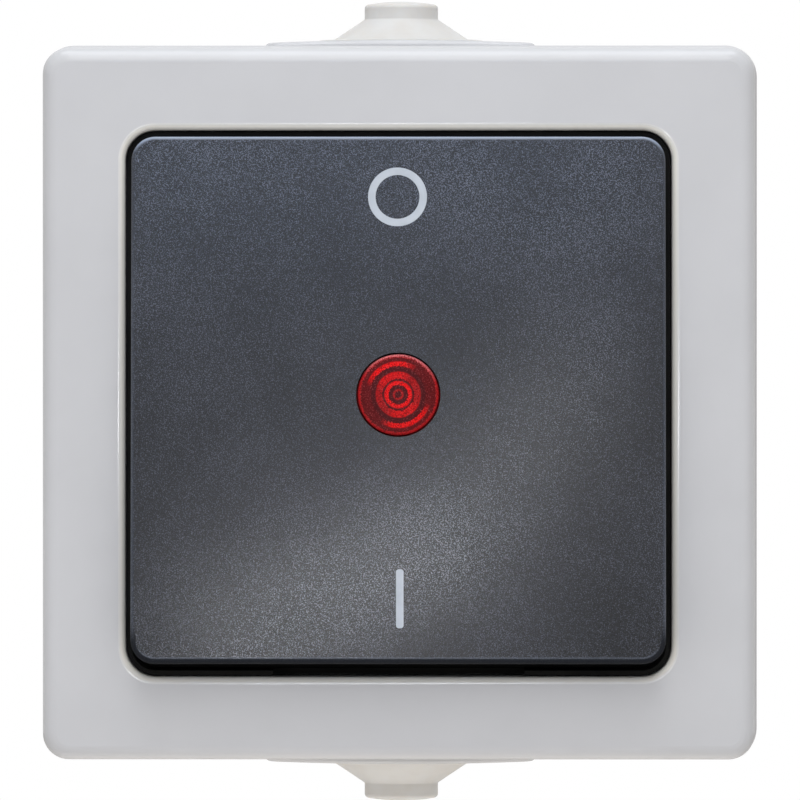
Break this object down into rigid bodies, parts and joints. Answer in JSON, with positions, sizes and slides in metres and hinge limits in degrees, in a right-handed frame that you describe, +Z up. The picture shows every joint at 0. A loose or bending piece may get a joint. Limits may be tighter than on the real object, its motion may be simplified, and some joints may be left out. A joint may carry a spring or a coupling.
{
  "type": "surface-mounted weatherproof rocker switch",
  "caption": "Surface-mounted weatherproof switch: pale square housing, dark tilting rocker with a red pilot lens and on/off marks, soft cable entries above and below.",
  "frame": {"origin": "centre of the two wall screws, in the plane of the wall", "axes": "+Z up the wall, +Y into the wall, -Y towards the person, +X to the right"},
  "size_m": [0.066, 0.0489, 0.0752],
  "materials": {
    "pale_plastic": "satin light grey moulding",
    "entry_rubber": "soft, pale, slightly translucent",
    "seal_rubber": "matt",
    "black_plastic": "satin black moulding",
    "rocker_plastic": "fine spark-eroded anthracite",
    "lens_plastic": "clear red, polished",
    "insert_plastic": "moulded",
    "toggle_plastic": "moulded",
    "plated_steel": "zinc plated",
    "spring_steel": "drawn wire",
    "contact_brass": "stamped, with silver contact points",
    "lamp_glass": "clear",
    "lead_wire": "tinned",
    "resistor_coat": "lacquered"
  },
  "bodies": {
    "housing": {"base_box": "pale_plastic", "cover_frame": "pale_plastic", "top_grommet": "entry_rubber", "bottom_grommet": "entry_rubber", "cover_gasket": "seal_rubber", "insert_seal": "seal_rubber", "inner_frame": "black_plastic", "bearing_bridge": "insert_plastic", "switch_socket": "insert_plastic", "cover_screws": "plated_steel", "insert_screws": "plated_steel", "terminal_screws": "plated_steel", "terminal_clamps": "plated_steel", "left_contact_cradle": "contact_brass", "right_contact_cradle": "contact_brass", "left_fixed_contact": "contact_brass", "right_fixed_contact": "contact_brass", "pilot_lamp": "lamp_glass", "lamp_leads": "lead_wire", "lamp_resistor": "resistor_coat"},
    "rocker": {"rocker": "rocker_plastic", "lens": "lens_plastic", "toggle": "toggle_plastic", "left_spring": "spring_steel", "right_spring": "spring_steel"},
    "left_plunger": {"left_plunger": "contact_brass"},
    "right_plunger": {"right_plunger": "contact_brass"},
    "left_contact": {"left_contact_bridge": "contact_brass"},
    "right_contact": {"right_contact_bridge": "contact_brass"}
  },
  "joints": [
    {"name": "rocker_tilt", "type": "hinge", "parent": "housing", "child": "rocker", "pos_m": [0, -0.0419, 0], "axis": [1, 0, 0], "range_deg": [0, 8]},
    {"name": "left_contact_rock", "type": "hinge", "parent": "housing", "child": "left_contact", "pos_m": [-0.0085, -0.01958, 0], "axis": [1, 0, 0], "range_deg": [-26, 0]},
    {"name": "left_plunger_slide", "type": "slide", "parent": "rocker", "child": "left_plunger", "axis": [0, -0.9976, 0.0698], "range_m": [0, 0.0008], "stiffness_N_per_m": 400, "springref_m": -0.004, "deforming": ["left_spring"]},
    {"name": "right_contact_rock", "type": "hinge", "parent": "housing", "child": "right_contact", "pos_m": [0.0085, -0.01958, 0], "axis": [1, 0, 0], "range_deg": [-26, 0]},
    {"name": "right_plunger_slide", "type": "slide", "parent": "rocker", "child": "right_plunger", "axis": [0, -0.9976, 0.0698], "range_m": [0, 0.0008], "stiffness_N_per_m": 400, "springref_m": -0.004, "deforming": ["right_spring"]}
  ],
  "couplings": [
    {"joint": "left_contact_rock", "follows": "rocker_tilt", "ratio": -3.25},
    {"joint": "right_contact_rock", "follows": "rocker_tilt", "ratio": -3.25}
  ]
}
